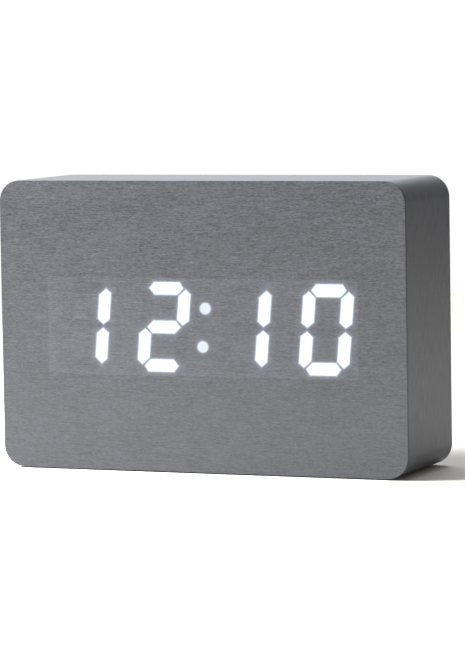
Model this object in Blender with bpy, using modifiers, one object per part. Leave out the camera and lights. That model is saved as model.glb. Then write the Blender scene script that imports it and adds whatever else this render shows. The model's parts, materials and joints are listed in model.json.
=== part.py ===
"""Desk clock: a film-covered fibreboard block with a four-digit LED display behind its face.

Metres, +Z up. The face looks along -Y and the controls are on the +Y side.
The origin is the middle of the underside.
"""

import math

import bmesh
import bpy
from mathutils import Matrix, Vector
from mathutils.geometry import delaunay_2d_cdt

# Driving dimensions of the block
WIDTH = 0.150
DEPTH = 0.045
HEIGHT = 0.100
CORNER_RADIUS = 0.0075
FILM = 0.0004
GLUE = 0.0001
GAP = 0.0003
SIDE_WALL = 0.006
FRONT_WALL = 0.003
BACK_BOARD = 0.007
FOOT_HEIGHT = 0.0004
FOOT_RADIUS = 0.005
FOOT_PLACES = ((-0.060, -0.014), (0.060, -0.014), (-0.060, 0.014), (0.060, 0.014))

# The display, as seen on the face
WINDOW_CENTRE = (0.0004, 0.0499)
WINDOW_SIZE = (0.1148, 0.0336)
DIGIT_CENTRE = (0.00165, 0.04985)
DIGIT_PITCH = 0.0298
DIGIT_SLANT = math.radians(4.9)
COLON_RADIUS = 0.00207
COLON_OFFSET = 0.00657
LIGHT_GAP = 0.00006
SHOWN = ("bc", "abged", "bc", "abcdef")

# Corners of the segments about a digit's middle: the upper bar, the middle bar and the upper right post
UPPER_BAR = (
    (-0.00650, 0.01335),
    (-0.00435, 0.01095),
    (0.00435, 0.01095),
    (0.00650, 0.01335),
    (0.00485, 0.01560),
    (-0.00485, 0.01560),
)
MIDDLE_BAR = (
    (-0.00640, 0.0),
    (-0.00425, -0.00233),
    (0.00425, -0.00233),
    (0.00640, 0.0),
    (0.00425, 0.00233),
    (-0.00425, 0.00233),
)
RIGHT_POST = (
    (0.00690, 0.00045),
    (0.00927, 0.00220),
    (0.00927, 0.01140),
    (0.00720, 0.01315),
    (0.00453, 0.01075),
    (0.00453, 0.00245),
)
SEGMENTS = {
    "a": (UPPER_BAR, 1, 1),
    "b": (RIGHT_POST, 1, 1),
    "c": (RIGHT_POST, 1, -1),
    "d": (UPPER_BAR, 1, -1),
    "e": (RIGHT_POST, -1, -1),
    "f": (RIGHT_POST, -1, 1),
    "g": (MIDDLE_BAR, 1, 1),
}

# Depths behind the face, as distances along Y
FACE = -DEPTH / 2
REAR = DEPTH / 2
BODY_FRONT = FACE + FILM + GLUE
BODY_BACK = REAR - FILM - GLUE
MASK_THICKNESS = 0.0010
WEB_THICKNESS = 0.0006
REFLECTOR_DEPTH = 0.0066
PCB_THICKNESS = 0.0016
MASK_BACK = BODY_FRONT + MASK_THICKNESS
WEB_FRONT = MASK_BACK + GAP
WEB_BACK = WEB_FRONT + WEB_THICKNESS
REFLECTOR_FRONT = WEB_BACK + GAP
REFLECTOR_BACK = REFLECTOR_FRONT + REFLECTOR_DEPTH
DISPLAY_BOARD_FRONT = REFLECTOR_BACK + GAP

# The control plate and what it carries
PLATE_SIZE = (0.132, 0.076)
PLATE_RADIUS = 0.005
PLATE_MIDDLE = (0.0, HEIGHT / 2)
PLATE_THICKNESS = 0.0022
PLATE_SUNK = 0.0010
PLATE_BACK = REAR - PLATE_SUNK
PLATE_FRONT = PLATE_BACK - PLATE_THICKNESS
LEDGE = 0.006
PLATE_SCREW_INSET = 0.0035

# The battery bay: four cells lie along X, one above the other
CELL_RADIUS = 0.00525
CELL_BODY = 0.0435
CELL_NUB = 0.0010
CELL_PITCH = 0.0110
CELLS = 4
BAY_LEFT = 0.0010
BAY_RIGHT = 0.0530
BAY_BOTTOM = HEIGHT / 2 - 0.0225
BAY_TOP = HEIGHT / 2 + 0.0225
BAY_WALL = 0.0015
BAY_FLOOR = 0.0088
BAY_LIP = 0.0198
DOOR_LIP = 0.0010
DOOR_THICKNESS = 0.0014
TONGUE_HALF_WIDTH = 0.0050
GRIP_RIDGES = 4
GRIP_PITCH = 0.0014
GRIP_HEIGHT = 0.0004
CELL_AXIS_Y = 0.0143
TERMINAL = 0.0004
SPRING_LENGTH = 0.0045

# The circuit board on the control plate
BOARD_BACK = 0.0128
BOARD_FRONT = BOARD_BACK - PCB_THICKNESS
BUTTON_XS = {"set": -0.026, "up": -0.038, "down": -0.050}
BUTTON_Z = 0.070
BUTTON_RADIUS = 0.0030
BUTTON_HOLE = 0.0034
MODE_SWITCH = (-0.0125, 0.070)
MODE_TRAVEL = 0.002
SWITCH_TOP = 0.0170
JACK = (-0.048, 0.028)
JACK_RADIUS = 0.0040
BUZZER = (-0.030, 0.047)
BUZZER_RADIUS = 0.006
SOUND_SENSOR = (-0.050, 0.050)
TEMPERATURE_SENSOR = (-0.013, 0.034)
BOARD_SCREWS = ((-0.0555, 0.0605), (-0.0075, 0.0225))
LEAD_RADIUS = 0.0006

# The kind of triangulation that stays inside the outermost outlines
INSIDE_OUTLINES = 1

FINISHES = {
    "brushed_film": ((0.20, 0.205, 0.22), 0.42, 0.6),
    "fibreboard": ((0.42, 0.30, 0.19), 0.85, 0.0),
    "black_plastic": ((0.02, 0.02, 0.022), 0.45, 0.0),
    "button_plastic": ((0.05, 0.05, 0.055), 0.35, 0.0),
    "white_plastic": ((0.82, 0.82, 0.80), 0.5, 0.0),
    "mask_black": ((0.03, 0.03, 0.03), 0.7, 0.0),
    "light_guide": ((0.86, 0.90, 0.95), 0.35, 0.0),
    "circuit_board": ((0.02, 0.16, 0.06), 0.4, 0.0),
    "steel": ((0.55, 0.55, 0.56), 0.3, 1.0),
    "black_steel": ((0.06, 0.06, 0.06), 0.35, 1.0),
    "cell_jacket": ((0.10, 0.22, 0.18), 0.35, 0.2),
    "red_lead": ((0.55, 0.03, 0.02), 0.5, 0.0),
    "black_lead": ((0.02, 0.02, 0.02), 0.5, 0.0),
    "grey_ribbon": ((0.45, 0.45, 0.46), 0.55, 0.0),
    "rubber": ((0.04, 0.04, 0.04), 0.8, 0.0),
}


# ---- Building tools -----------------------------------------------------------------------------


def new_collection(name):
    collection = bpy.data.collections.new(name)
    bpy.context.scene.collection.children.link(collection)
    return collection


def clear_scene():
    for obj in list(bpy.data.objects):
        bpy.data.objects.remove(obj)


clear_scene()
CLOCK = new_collection("desk_clock")
HELPERS = new_collection("cutters")


def finish_of(name):
    """The material of this name, made on first use."""
    if name in bpy.data.materials:
        return bpy.data.materials[name]
    colour, roughness, metallic = FINISHES[name]
    made = bpy.data.materials.new(name)
    made.use_nodes = True
    shader = made.node_tree.nodes["Principled BSDF"]
    shader.inputs["Base Color"].default_value = (*colour, 1.0)
    shader.inputs["Roughness"].default_value = roughness
    shader.inputs["Metallic"].default_value = metallic
    return made


def add_object(name, data, finish):
    obj = bpy.data.objects.new(name, data)
    CLOCK.objects.link(obj)
    if finish:
        data.materials.append(finish_of(finish))
    return obj


def as_mesh(obj):
    """The curve or modified object as a welded mesh object in the same place, with the same name."""
    bpy.context.view_layer.update()
    evaluated = obj.evaluated_get(bpy.context.evaluated_depsgraph_get())
    mesh = bpy.data.meshes.new_from_object(evaluated)
    shape = bmesh.new()
    shape.from_mesh(mesh)
    bmesh.ops.remove_doubles(shape, verts=shape.verts, dist=1e-6)
    bmesh.ops.recalc_face_normals(shape, faces=shape.faces)
    shape.to_mesh(mesh)
    shape.free()
    name, place = obj.name, obj.matrix_world.copy()
    bpy.data.objects.remove(obj)
    mesh.name = name
    made = bpy.data.objects.new(name, mesh)
    made.matrix_world = place
    CLOCK.objects.link(made)
    return made


def middle_of(outline):
    return [sum(values) / len(outline) for values in zip(*outline)]


def is_solid(point, outlines):
    """Whether the point lies inside an odd number of the outlines."""
    x, z = point
    inside = False
    for outline in outlines:
        for (ax, az), (bx, bz) in zip(outline, outline[1:] + outline[:1]):
            if (az > z) != (bz > z) and x < ax + (z - az) / (bz - az) * (bx - ax):
                inside = not inside
    return inside


def plate(name, finish, outlines, front, back):
    """A flat piece in the XZ plane, from y=front to y=back. Outlines inside the first are holes."""
    corners, edges = [], []
    for outline in outlines:
        first, count = len(corners), len(outline)
        corners += [Vector(point) for point in outline]
        edges += [(first + i, first + (i + 1) % count) for i in range(count)]
    flat, _, triangles, *_ = delaunay_2d_cdt(corners, edges, [], INSIDE_OUTLINES, 1e-7)
    shape = bmesh.new()
    verts = [shape.verts.new((point.x, front, point.y)) for point in flat]
    faces = []
    for triangle in triangles:
        if is_solid(middle_of([flat[i] for i in triangle]), outlines):
            faces.append(shape.faces.new([verts[i] for i in triangle]))
    for vert in [vert for vert in verts if not vert.link_faces]:
        shape.verts.remove(vert)
    grown = bmesh.ops.extrude_face_region(shape, geom=faces, use_keep_orig=True)["geom"]
    moved = [item for item in grown if isinstance(item, bmesh.types.BMVert)]
    bmesh.ops.translate(shape, vec=(0.0, back - front, 0.0), verts=moved)
    bmesh.ops.recalc_face_normals(shape, faces=shape.faces)
    mesh = bpy.data.meshes.new(name)
    shape.to_mesh(mesh)
    shape.free()
    return add_object(name, mesh, finish)


def block(name, finish, low, high, bevel=0.0):
    """A box between two corners, with its edges rounded by bevel."""
    mesh = bpy.data.meshes.new(name)
    shape = bmesh.new()
    bmesh.ops.create_cube(shape, size=1.0)
    size = [b - a for a, b in zip(low, high)]
    bmesh.ops.scale(shape, vec=size, verts=shape.verts)
    shape.to_mesh(mesh)
    shape.free()
    obj = add_object(name, mesh, finish)
    obj.location = [(a + b) / 2 for a, b in zip(low, high)]
    if bevel:
        rounding = obj.modifiers.new("rounded_edges", "BEVEL")
        rounding.width = bevel
        rounding.segments = 2
    return obj


def turned(name, finish, profile, place, axis="Y", steps=20):
    """A round piece. The profile's (radius, height) pairs run down its outer side."""
    mesh = bpy.data.meshes.new(name)
    closed = profile[0][0] > 0 and profile[-1][0] > 0
    count = len(profile)
    edges = [(i, (i + 1) % count) for i in range(count if closed else count - 1)]
    mesh.from_pydata([(radius, 0.0, height) for radius, height in profile], edges, [])
    obj = add_object(name, mesh, finish)
    screw = obj.modifiers.new("turn", "SCREW")
    screw.steps = steps
    screw.render_steps = steps
    screw.use_merge_vertices = True
    screw.merge_threshold = 1e-5
    screw.use_smooth_shade = True
    obj.location = place
    if axis == "Y":
        obj.rotation_euler.x = -math.pi / 2
    elif axis == "X":
        obj.rotation_euler.y = math.pi / 2
    return as_mesh(obj)


def wire(name, finish, points, radius, sides=1):
    """A round wire along a list of points."""
    curve = bpy.data.curves.new(name, "CURVE")
    curve.dimensions = "3D"
    curve.bevel_depth = radius
    curve.bevel_resolution = sides
    curve.use_fill_caps = True
    spline = curve.splines.new("POLY")
    spline.points.add(len(points) - 1)
    for point, place in zip(spline.points, points):
        point.co = (*place, 1.0)
    return add_object(name, curve, finish)


def as_helper(obj):
    """Keeps a cutter or a joined shape out of the finished clock."""
    CLOCK.objects.unlink(obj)
    HELPERS.objects.link(obj)
    obj.hide_render = True
    obj.display_type = "WIRE"
    return obj


def boolean(target, other, operation):
    modifier = target.modifiers.new(operation.lower(), "BOOLEAN")
    modifier.operation = operation
    modifier.solver = "EXACT"
    modifier.object = as_helper(other)
    return target


def cut(target, other):
    return boolean(target, other, "DIFFERENCE")


def join(target, other):
    return boolean(target, other, "UNION")


# ---- Outlines in the XZ plane -------------------------------------------------------------------


def circle(centre, radius, steps=20):
    return [
        (
            centre[0] + radius * math.cos(2 * math.pi * i / steps),
            centre[1] + radius * math.sin(2 * math.pi * i / steps),
        )
        for i in range(steps)
    ]


def rectangle(low, high):
    return [low, (high[0], low[1]), high, (low[0], high[1])]


def rounded_rectangle(centre, size, radius, steps=8):
    """Corner arcs joined by straight sides, counterclockwise."""
    points = []
    for quarter, (sx, sz) in enumerate(((1, 1), (-1, 1), (-1, -1), (1, -1))):
        cx = centre[0] + sx * (size[0] / 2 - radius)
        cz = centre[1] + sz * (size[1] / 2 - radius)
        for i in range(steps + 1):
            angle = math.pi / 2 * (quarter + i / steps)
            points.append((cx + radius * math.cos(angle), cz + radius * math.sin(angle)))
    return points


def block_outline(inset):
    """The clock's outline, moved inwards."""
    size = (WIDTH - 2 * inset, HEIGHT - 2 * inset)
    return rounded_rectangle((0.0, HEIGHT / 2), size, CORNER_RADIUS - min(inset, CORNER_RADIUS / 2))


def shrunk(outline, distance):
    """A convex counterclockwise outline with every side moved inwards."""
    count = len(outline)
    sides = []
    for i in range(count):
        (ax, az), (bx, bz) = outline[i], outline[(i + 1) % count]
        length = math.hypot(bx - ax, bz - az)
        nx, nz = (az - bz) / length, (bx - ax) / length
        sides.append((nx, nz, nx * ax + nz * az + distance))
    points = []
    for i in range(count):
        (nx, nz, c), (mx, mz, d) = sides[i - 1], sides[i]
        cross = nx * mz - nz * mx
        points.append(((c * mz - d * nz) / cross, (nx * d - mx * c) / cross))
    return points


def slanted(points, centre_x):
    lean = math.tan(DIGIT_SLANT)
    return [(centre_x + x + lean * z, DIGIT_CENTRE[1] + z) for x, z in points]


def mirrored(points, side, level):
    """The outline, still counterclockwise, flipped in X or Z where side or level is -1."""
    flipped = [(side * x, level * z) for x, z in points]
    return flipped if side * level > 0 else flipped[::-1]


def digit_middle(number):
    """The X of a digit's middle, counted from 1 at the left."""
    return DIGIT_CENTRE[0] + (number - 2.5) * DIGIT_PITCH


def digit_outlines(number, letters="abcdefg"):
    shapes = [mirrored(*SEGMENTS[letter]) for letter in letters]
    return [slanted(shape, digit_middle(number)) for shape in shapes]


def colon_outlines():
    centres = slanted([(0.0, -COLON_OFFSET), (0.0, COLON_OFFSET)], DIGIT_CENTRE[0])
    return [circle(centre, COLON_RADIUS, 16) for centre in centres]


def all_segments():
    digits = [outline for number in range(1, 5) for outline in digit_outlines(number)]
    return digits + colon_outlines()


def lit_segments():
    """The segments that show the time, and the colon."""
    shown = [digit_outlines(number, letters) for number, letters in enumerate(SHOWN, 1)]
    return sum(shown, colon_outlines())


# ---- Case ---------------------------------------------------------------------------------------


def make_case():
    """The routed fibreboard body: a ring of walls with a front wall that holds the window."""
    case = plate(
        "case_body",
        "fibreboard",
        [block_outline(FILM + GLUE), rounded_rectangle(WINDOW_CENTRE, WINDOW_SIZE, 0.001, 2)],
        BODY_FRONT,
        BODY_BACK,
    )
    cavity = plate(
        "case_cavity",
        None,
        [block_outline(FILM + GLUE + SIDE_WALL)],
        BODY_FRONT + FRONT_WALL,
        REAR + 0.002,
    )
    cut(case, cavity)
    for x, z in display_screw_places():
        pilot = turned(
            "display_screw_pilot",
            None,
            [(0.0, 0.004), (0.0013, 0.004), (0.0013, 0.0), (0.0, 0.0)],
            (x, BODY_FRONT + 0.0004, z),
            steps=12,
        )
        cut(case, pilot)
    return case


def make_films():
    """The brushed film: a sheet on the face that lets the time through, a band and a back sheet."""
    plate("front_film", "brushed_film", [block_outline(0.0), *lit_segments()], FACE, FACE + FILM)
    plate(
        "side_film",
        "brushed_film",
        [block_outline(0.0), block_outline(FILM)],
        FACE + FILM + GLUE,
        REAR - FILM - GLUE,
    )
    size = [side + 2 * GAP for side in PLATE_SIZE]
    plate(
        "back_film",
        "brushed_film",
        [block_outline(0.0), rounded_rectangle(PLATE_MIDDLE, size, PLATE_RADIUS + GAP, 6)],
        REAR - FILM,
        REAR,
    )


def plate_screw_places():
    x = PLATE_SIZE[0] / 2 - PLATE_SCREW_INSET
    z = PLATE_SIZE[1] / 2 - PLATE_SCREW_INSET
    return [(sx * x, HEIGHT / 2 + sz * z) for sx, sz in ((-1, -1), (1, -1), (-1, 1), (1, 1))]


def make_back_board():
    """The fibreboard back, with a step that the control plate sits in."""
    inset = FILM + GLUE + SIDE_WALL + GAP
    opening = [side - 2 * LEDGE for side in PLATE_SIZE]
    holes = [circle(place, 0.0014, 12) for place in plate_screw_places()]
    back = plate(
        "back_board",
        "fibreboard",
        [block_outline(inset), rounded_rectangle(PLATE_MIDDLE, opening, 0.003, 4), *holes],
        BODY_BACK - BACK_BOARD,
        BODY_BACK,
    )
    size = [side + 2 * GAP for side in PLATE_SIZE]
    step = plate(
        "plate_step",
        None,
        [rounded_rectangle(PLATE_MIDDLE, size, PLATE_RADIUS + GAP, 6)],
        PLATE_FRONT - GAP,
        REAR + 0.002,
    )
    return cut(back, step)


# ---- Display ------------------------------------------------------------------------------------


def display_screw_places():
    """One ear above the window and one below it."""
    reach = WINDOW_SIZE[1] / 2 + 0.0035
    return [(-0.046, WINDOW_CENTRE[1] + reach), (0.048, WINDOW_CENTRE[1] - reach)]


def make_display():
    size = [side - 2 * GAP for side in WINDOW_SIZE]
    face = rounded_rectangle(WINDOW_CENTRE, size, 0.001, 2)
    plate("segment_mask", "mask_black", [face, *all_segments()], BODY_FRONT, MASK_BACK)
    for number, letters in enumerate(SHOWN, 1):
        unlit = "".join(sorted(set(SEGMENTS) - set(letters)))
        make_light_guide(
            f"digit_{number}",
            digit_middle(number),
            (0.0098, 0.0160),
            digit_outlines(number, letters),
            digit_outlines(number, unlit),
        )
    reach = COLON_OFFSET + 0.003
    make_light_guide("colon", DIGIT_CENTRE[0], (0.0026, reach), colon_outlines(), [])
    make_reflector(face)
    make_display_board()


def make_light_guide(name, centre_x, web_reach, lit, unlit):
    """A milky moulding: a slanted web with raised shapes. The lit ones come through to the face."""
    x, z = web_reach
    web = slanted([(-x, -z), (x, -z), (x, z), (-x, z)], centre_x)
    guide = plate(f"{name}_light_guide", "light_guide", [web], WEB_FRONT, WEB_BACK)
    middle = (WEB_FRONT + WEB_BACK) / 2
    for outlines, front in ((lit, FACE + 0.00004), (unlit, BODY_FRONT + GLUE)):
        if outlines:
            raised = [shrunk(outline, LIGHT_GAP) for outline in outlines]
            join(guide, plate("raised_shapes", None, raised, front, middle))


def make_reflector(face):
    """The white block with a light cell behind each segment, and two ears screwed to the case."""
    cells = [shrunk(outline, 0.0002) for outline in all_segments()]
    reflector = plate(
        "reflector_block", "white_plastic", [face, *cells], REFLECTOR_FRONT, REFLECTOR_BACK
    )
    ear_front = BODY_FRONT + FRONT_WALL + GAP
    ear_back = ear_front + 0.0020
    for number, (x, z) in enumerate(display_screw_places(), 1):
        towards = 1 if z > WINDOW_CENTRE[1] else -1
        root = WINDOW_CENTRE[1] + towards * (WINDOW_SIZE[1] / 2 - 0.0010)
        low, high = sorted((root, z + towards * 0.003))
        ear = plate(
            "display_ear",
            None,
            [
                rectangle((x - 0.004, low), (x + 0.004, high)),
                circle((x, z), 0.0013, 12),
            ],
            ear_front,
            ear_back,
        )
        join(reflector, ear)
        make_screw(f"display_screw_{number}", (x, ear_back + GAP, z), 0.0038, steps=12)


def make_display_board():
    """The LED board, with one LED at the foot of each cell."""
    size = [side - 4 * GAP for side in WINDOW_SIZE]
    outline = rounded_rectangle(WINDOW_CENTRE, size, 0.001, 2)
    front = DISPLAY_BOARD_FRONT
    board = plate("display_board", "circuit_board", [outline], front, front + PCB_THICKNESS)
    leds = []
    for outline in all_segments():
        x, z = middle_of(outline)
        leds.append(rectangle((x - 0.0009, z - 0.0007), (x + 0.0009, z + 0.0007)))
    join(board, plate("leds", None, leds, front - 0.0008, front + PCB_THICKNESS / 2))


# ---- Control plate, battery bay and door --------------------------------------------------------


def door_pocket():
    """Low and high corners, in X and Z, of the plate's opening that the door fills."""
    return (BAY_LEFT - DOOR_LIP, BAY_BOTTOM - DOOR_LIP), (BAY_RIGHT + DOOR_LIP, BAY_TOP + DOOR_LIP)


def grille_holes():
    ring = [circle_point(BUZZER, 0.0032, i / 6) for i in range(6)]
    return [circle(place, 0.0007, 10) for place in [BUZZER, *ring]]


def circle_point(centre, radius, share):
    angle = 2 * math.pi * share
    return (centre[0] + radius * math.cos(angle), centre[1] + radius * math.sin(angle))


def vent_slots():
    x, z = TEMPERATURE_SENSOR
    return [
        rounded_rectangle((x + dx, z), (0.0012, 0.008), 0.00055, 3) for dx in (-0.0025, 0.0, 0.0025)
    ]


def make_control_plate():
    """The black plate in the back board. A tub for the cells stands on its inner side."""
    holes = [rectangle(*door_pocket())]
    holes += [circle((x, BUTTON_Z), BUTTON_HOLE) for x in BUTTON_XS.values()]
    holes += [circle(place, 0.0014, 12) for place in plate_screw_places()]
    holes.append(rounded_rectangle(MODE_SWITCH, (0.0054, 0.0026), 0.0006, 3))
    holes.append(circle(JACK, JACK_RADIUS + GAP))
    holes.append(circle(SOUND_SENSOR, 0.0008, 10))
    holes += grille_holes() + vent_slots()
    outline = rounded_rectangle(PLATE_MIDDLE, PLATE_SIZE, PLATE_RADIUS, 6)
    control_plate = plate("control_plate", "black_plastic", [outline, *holes], PLATE_FRONT, PLATE_BACK)

    tub = block(
        "bay_tub",
        None,
        (BAY_LEFT - BAY_WALL, BAY_FLOOR - BAY_WALL, BAY_BOTTOM - BAY_WALL),
        (BAY_RIGHT + BAY_WALL, BAY_LIP, BAY_TOP + BAY_WALL),
    )
    join(control_plate, tub)
    bay = block(
        "bay_hollow",
        None,
        (BAY_LEFT, BAY_FLOOR, BAY_BOTTOM),
        (BAY_RIGHT, BAY_LIP + 0.004, BAY_TOP),
    )
    cut(control_plate, bay)
    # a closed pocket below the bay for each of the door's tabs, and a notch that lets the tab in
    for x in door_tab_xs():
        low = (x - 0.0050, 0.0150, BAY_BOTTOM - 0.0040)
        high = (x + 0.0050, PLATE_FRONT + 0.0005, BAY_BOTTOM - 0.0005)
        join(control_plate, block("tab_pocket", None, low, high))
        low = (x - 0.0040, 0.0160, BAY_BOTTOM - 0.003)
        high = (x + 0.0040, 0.0195, BAY_BOTTOM + 0.001)
        cut(control_plate, block("tab_notch", None, low, high))
    for z in lead_levels():
        cut(control_plate, lead_hole(z))
    for place in BOARD_SCREWS:
        join(control_plate, board_post(place))
    for place in plate_screw_places():
        cut(control_plate, screw_seat(place))
    return control_plate


def board_post(place):
    """A hollow post that a circuit board screw bites into."""
    return plate(
        "board_post",
        None,
        [circle(place, 0.0026, 16), circle(place, 0.0013, 12)],
        BOARD_BACK + GAP,
        PLATE_FRONT + 0.0010,
    )


def screw_seat(place):
    seat = [circle(place, 0.0025, 16)]
    return plate("screw_seat", None, seat, PLATE_BACK - 0.0010, PLATE_BACK + 0.001)


def lead_levels():
    """Heights of the two cells whose terminals take the leads: the lowest and the highest."""
    return [cell_height(1), cell_height(CELLS)]


def lead_hole(z):
    return turned(
        "lead_hole",
        None,
        [(0.0, 0.002), (0.0010, 0.002), (0.0010, -0.002), (0.0, -0.002)],
        (BAY_LEFT - BAY_WALL / 2, CELL_AXIS_Y, z),
        axis="X",
        steps=10,
    )


def door_tab_xs():
    middle = (BAY_LEFT + BAY_RIGHT) / 2
    return [middle - 0.015, middle + 0.015]


def make_door():
    """The battery door: it turns on two tabs at its foot, and a ridged tongue at its top snaps it shut."""
    (left, bottom), (right, top) = door_pocket()
    left, right, bottom, top = left + GAP, right - GAP, bottom + GAP, top - GAP
    middle = (left + right) / 2
    slots = [
        rectangle((x - 0.0004, top - 0.009), (x + 0.0004, top - 0.001))
        for x in (middle - TONGUE_HALF_WIDTH, middle + TONGUE_HALF_WIDTH)
    ]
    door = plate(
        "battery_door",
        "black_plastic",
        [rectangle((left, bottom), (right, top)), *slots],
        PLATE_BACK - DOOR_THICKNESS,
        PLATE_BACK,
    )
    for x in door_tab_xs():
        low, high = (x - 0.0033, 0.0178, bottom - 0.0016), (x + 0.0033, 0.0189, bottom + 0.0020)
        join(door, block("door_tab", None, low, high))
        low, high = (x - 0.0030, 0.0182, bottom + 0.0010), (x + 0.0030, 0.0206, bottom + 0.0018)
        join(door, block("tab_riser", None, low, high))
    low = (middle - 0.003, PLATE_BACK - 0.0010, top - 0.0006)
    high = (middle + 0.003, PLATE_BACK - 0.0004, top + 0.0002)
    join(door, block("snap_nose", None, low, high))
    for i in range(GRIP_RIDGES):
        z = top - 0.0030 - i * GRIP_PITCH
        low = (middle - 0.0036, PLATE_BACK - DOOR_THICKNESS / 2, z - 0.0003)
        high = (middle + 0.0036, PLATE_BACK + GRIP_HEIGHT, z + 0.0003)
        join(door, block("grip_ridge", None, low, high))
    place_origin(door, (middle, PLATE_BACK, bottom))
    return door


def place_origin(obj, point):
    """Moves the object's origin without moving its shape."""
    shift = Vector(point) - obj.location
    obj.data.transform(Matrix.Translation(-shift))
    obj.location = point


# ---- Buttons, switches and what stands on the circuit board -------------------------------------


def make_button(name, x):
    """A round cap in the plate, with a collar that keeps it in and a stem that works its switch."""
    collar_back = PLATE_FRONT - 0.0004
    stem_end = 0.0152
    profile = [
        (0.0, 0.0224),
        (0.0022, 0.0223),
        (BUTTON_RADIUS, 0.0218),
        (BUTTON_RADIUS, collar_back),
        (0.0042, collar_back),
        (0.0042, collar_back - 0.0008),
        (0.0015, collar_back - 0.0008),
        (0.0015, stem_end),
        (0.0, stem_end),
    ]
    turned(f"{name}_button", "button_plastic", profile, (x, 0.0, BUTTON_Z))


def make_button_switch(name, x):
    half = 0.0030
    body = block(
        f"{name}_switch",
        "black_plastic",
        (x - half, BOARD_BACK + GAP, BUTTON_Z - half),
        (x + half, SWITCH_TOP, BUTTON_Z + half),
    )
    well = plate("switch_well", None, [circle((x, BUTTON_Z), 0.0021, 14)], 0.0143, 0.0180)
    cut(body, well)


def make_mode_switch():
    """A slide switch: its knob rests at the -X end of its slot."""
    x, z = MODE_SWITCH
    body = block(
        "mode_switch",
        "steel",
        (x - 0.0043, BOARD_BACK + GAP, z - 0.0020),
        (x + 0.0043, SWITCH_TOP, z + 0.0020),
    )
    low, high = (x - 0.0022, 0.0150, z - 0.0009), (x + 0.0022, 0.0180, z + 0.0009)
    cut(body, block("mode_slot", None, low, high))
    knob_x = x - MODE_TRAVEL / 2
    low, high = (knob_x - 0.0013, 0.0174, z - 0.0011), (knob_x + 0.0013, 0.0223, z + 0.0011)
    knob = block("mode_knob", "button_plastic", low, high, 0.0002)
    low, high = (knob_x - 0.0036, 0.0181, z - 0.0018), (knob_x + 0.0036, 0.0189, z + 0.0018)
    join(knob, block("knob_shutter", None, low, high))
    low, high = (knob_x - 0.0008, 0.0154, z - 0.0006), (knob_x + 0.0008, 0.0178, z + 0.0006)
    join(knob, block("knob_foot", None, low, high))


def make_jack():
    """The round power inlet: a barrel through the circuit board, with a pin on its axis."""
    x, z = JACK
    bore, pin, floor = 0.0029, 0.00105, 0.0110
    profile = [
        (bore, PLATE_BACK - 0.0002),
        (JACK_RADIUS, PLATE_BACK - 0.0002),
        (JACK_RADIUS, 0.0140),
        (0.0052, 0.0140),
        (0.0052, BOARD_BACK + GAP),
        (JACK_RADIUS, BOARD_BACK + GAP),
        (JACK_RADIUS, 0.0090),
        (pin + GAP, 0.0090),
        (pin + GAP, floor),
        (bore, floor),
    ]
    turned("power_jack", "black_plastic", profile, (x, 0.0, z))
    pin_profile = [(0.0, 0.0204), (pin * 0.6, 0.0204), (pin, 0.0199), (pin, 0.0080), (0.0, 0.0080)]
    turned("power_jack_pin", "steel", pin_profile, (x, 0.0, z), steps=12)


def make_circuit_board():
    corners = ((-0.0590, 0.0190), (-0.0030, 0.0810))
    middle = [(a + b) / 2 for a, b in zip(*corners)]
    size = [b - a for a, b in zip(*corners)]
    holes = [circle(place, 0.0013, 12) for place in BOARD_SCREWS]
    holes.append(circle(JACK, JACK_RADIUS + GAP, 16))
    outline = rounded_rectangle(middle, size, 0.0015, 3)
    plate("circuit_board", "circuit_board", [outline, *holes], BOARD_FRONT, BOARD_BACK)
    for number, (x, z) in enumerate(BOARD_SCREWS, 1):
        make_screw(f"board_screw_{number}", (x, BOARD_FRONT - GAP, z), 0.0060, towards=1, steps=12)


def make_board_parts():
    rear, front = BOARD_BACK + GAP, BOARD_FRONT - GAP
    buzzer = [
        (0.0, 0.0172),
        (0.0010, 0.0172),
        (0.0010, 0.0187),
        (BUZZER_RADIUS, 0.0187),
        (BUZZER_RADIUS, rear),
        (0.0, rear),
    ]
    turned("alarm_buzzer", "black_plastic", buzzer, (BUZZER[0], 0.0, BUZZER[1]))
    sensor = [(0.0, 0.0185), (0.0030, 0.0185), (0.0030, rear), (0.0, rear)]
    turned("sound_sensor", "steel", sensor, (SOUND_SENSOR[0], 0.0, SOUND_SENSOR[1]), steps=16)
    x, z = TEMPERATURE_SENSOR
    bead = [
        (0.0, 0.0186),
        (0.0009, 0.0182),
        (0.0012, 0.0174),
        (0.0008, 0.0164),
        (0.0004, 0.0158),
        (0.0004, rear),
        (0.0, rear),
    ]
    turned("temperature_sensor", "black_plastic", bead, (x, 0.0, z), steps=10)
    capacitor = [(0.0, front), (0.0031, front), (0.0031, front - 0.0070), (0.0, front - 0.0070)]
    turned("smoothing_capacitor", "black_lead", capacitor, (-0.050, 0.0, 0.044), steps=16)
    crystal = [(0.0, 0.0040), (0.0015, 0.0040), (0.0015, -0.0040), (0.0, -0.0040)]
    turned("quartz_crystal", "steel", crystal, (-0.016, front - 0.0015, 0.060), axis="Z", steps=12)
    low, high = (-0.038, front - 0.0020, 0.054), (-0.028, front, 0.064)
    block("clock_chip", "black_plastic", low, high, 0.0003)


# ---- Fasteners, cells and leads -----------------------------------------------------------------


def make_screw(name, seat, length, head_radius=0.0020, shank_radius=0.0010, towards=-1, steps=16):
    """A pan-head screw whose head stands on its seat. Its shank points along towards times Y."""
    head = 0.0011
    profile = [
        (0.0, head),
        (head_radius * 0.6, head),
        (head_radius, head * 0.45),
        (head_radius, 0.0),
        (shank_radius, 0.0),
        (shank_radius, -length),
        (0.0, -length - 0.0005),
    ]
    screw = turned(name, "black_steel", profile, seat, steps=steps)
    if towards > 0:
        screw.rotation_euler = (math.pi / 2, 0.0, 0.0)
    return screw


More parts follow.
